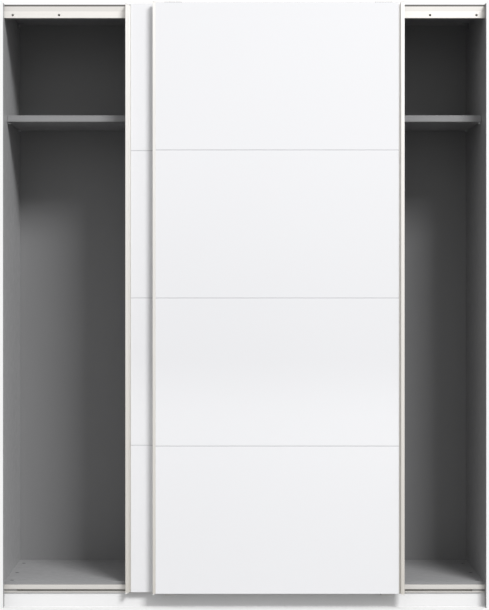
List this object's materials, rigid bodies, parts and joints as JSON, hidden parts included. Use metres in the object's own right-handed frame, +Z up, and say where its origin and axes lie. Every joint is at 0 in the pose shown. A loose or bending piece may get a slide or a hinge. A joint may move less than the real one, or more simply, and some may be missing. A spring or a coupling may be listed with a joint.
{
  "type": "sliding door wardrobe",
  "caption": "Free-standing wardrobe with sliding glass-fronted doors that hang on rollers and pass in front of open shelved compartments.",
  "frame": {"origin": "on the floor, in the middle of the overall width and depth", "axes": "+X to the right as the user faces the doors, the doors face -Y, +Z up"},
  "size_m": [1.7, 0.645, 2.114],
  "materials": {
    "white_board": "white melamine-faced board",
    "grey_board": "graphite grey melamine-faced board",
    "white_glass": "back-painted white glass, opaque",
    "satin_aluminium": "satin champagne anodised",
    "zinc": "zinc plated steel",
    "beech": "fluted beech",
    "grey_plastic": "matt",
    "pale_plastic": "satin",
    "roller_nylon": "turned nylon"
  },
  "bodies": {
    "carcass": {"side_panel_left": "white_board", "side_panel_right": "white_board", "plinth_front": "white_board", "top_panel": "grey_board", "bottom_panel": "grey_board", "top_front_rail": "grey_board", "centre_partition": "grey_board", "back_panel_left": "grey_board", "back_panel_right": "grey_board", "shelf_left": "grey_board", "shelf_right": "grey_board", "plinth_rear": "grey_board", "back_joint_strip": "grey_plastic", "wood_dowels": "beech", "cam_fittings": "zinc", "cam_bolts": "zinc", "shelf_pins": "zinc", "back_panel_nails": "zinc", "corner_brackets": "grey_plastic", "wall_brackets": "zinc", "wall_bracket_screws": "zinc", "running_track_screws": "zinc", "guide_track_screws": "zinc", "running_track": "satin_aluminium", "guide_track": "satin_aluminium", "guide_end_stops": "grey_plastic"},
    "rear_door": {"rear_core_board": "white_board", "rear_glass_pane_1": "white_glass", "rear_glass_pane_2": "white_glass", "rear_glass_pane_3": "white_glass", "rear_glass_pane_4": "white_glass", "rear_seam_strips": "satin_aluminium", "rear_handle_profile": "satin_aluminium", "rear_edge_profile": "satin_aluminium", "rear_end_caps": "pale_plastic", "rear_hanger_left": "zinc", "rear_hanger_right": "zinc", "rear_axles": "zinc", "rear_door_screws": "zinc", "rear_bottom_guides": "pale_plastic"},
    "front_door": {"front_core_board": "white_board", "front_glass_pane_1": "white_glass", "front_glass_pane_2": "white_glass", "front_glass_pane_3": "white_glass", "front_glass_pane_4": "white_glass", "front_seam_strips": "satin_aluminium", "front_handle_profile": "satin_aluminium", "front_edge_profile": "satin_aluminium", "front_end_caps": "pale_plastic", "front_hanger_left": "zinc", "front_hanger_right": "zinc", "front_axles": "zinc", "front_door_screws": "zinc", "front_bottom_guides": "zinc"},
    "rear_roller_left": {"rear_roller_left": "roller_nylon"},
    "rear_roller_right": {"rear_roller_right": "roller_nylon"},
    "front_roller_left": {"front_roller_left": "roller_nylon"},
    "front_roller_right": {"front_roller_right": "roller_nylon"}
  },
  "joints": [
    {"name": "rear_door_slide", "type": "slide", "parent": "carcass", "child": "rear_door", "axis": [1, 0, 0], "range_m": [-0.4195, 0.3775]},
    {"name": "front_door_slide", "type": "slide", "parent": "carcass", "child": "front_door", "axis": [1, 0, 0], "range_m": [-0.5145, 0.2825]},
    {"name": "rear_roller_left_spin", "type": "hinge", "parent": "rear_door", "child": "rear_roller_left", "pos_m": [-0.342, -0.2411, 2.0686], "axis": [0, 1, 0], "continuous": true},
    {"name": "rear_roller_right_spin", "type": "hinge", "parent": "rear_door", "child": "rear_roller_right", "pos_m": [0.384, -0.2411, 2.0686], "axis": [0, 1, 0], "continuous": true},
    {"name": "front_roller_left_spin", "type": "hinge", "parent": "front_door", "child": "front_roller_left", "pos_m": [-0.247, -0.2323, 2.0686], "axis": [0, 1, 0], "continuous": true},
    {"name": "front_roller_right_spin", "type": "hinge", "parent": "front_door", "child": "front_roller_right", "pos_m": [0.479, -0.2323, 2.0686], "axis": [0, 1, 0], "continuous": true}
  ],
  "couplings": [
    {"joint": "rear_roller_left_spin", "follows": "rear_door_slide", "rad_per_m": 147.06},
    {"joint": "rear_roller_right_spin", "follows": "rear_door_slide", "rad_per_m": 147.06},
    {"joint": "front_roller_left_spin", "follows": "front_door_slide", "rad_per_m": 147.06},
    {"joint": "front_roller_right_spin", "follows": "front_door_slide", "rad_per_m": 147.06}
  ]
}
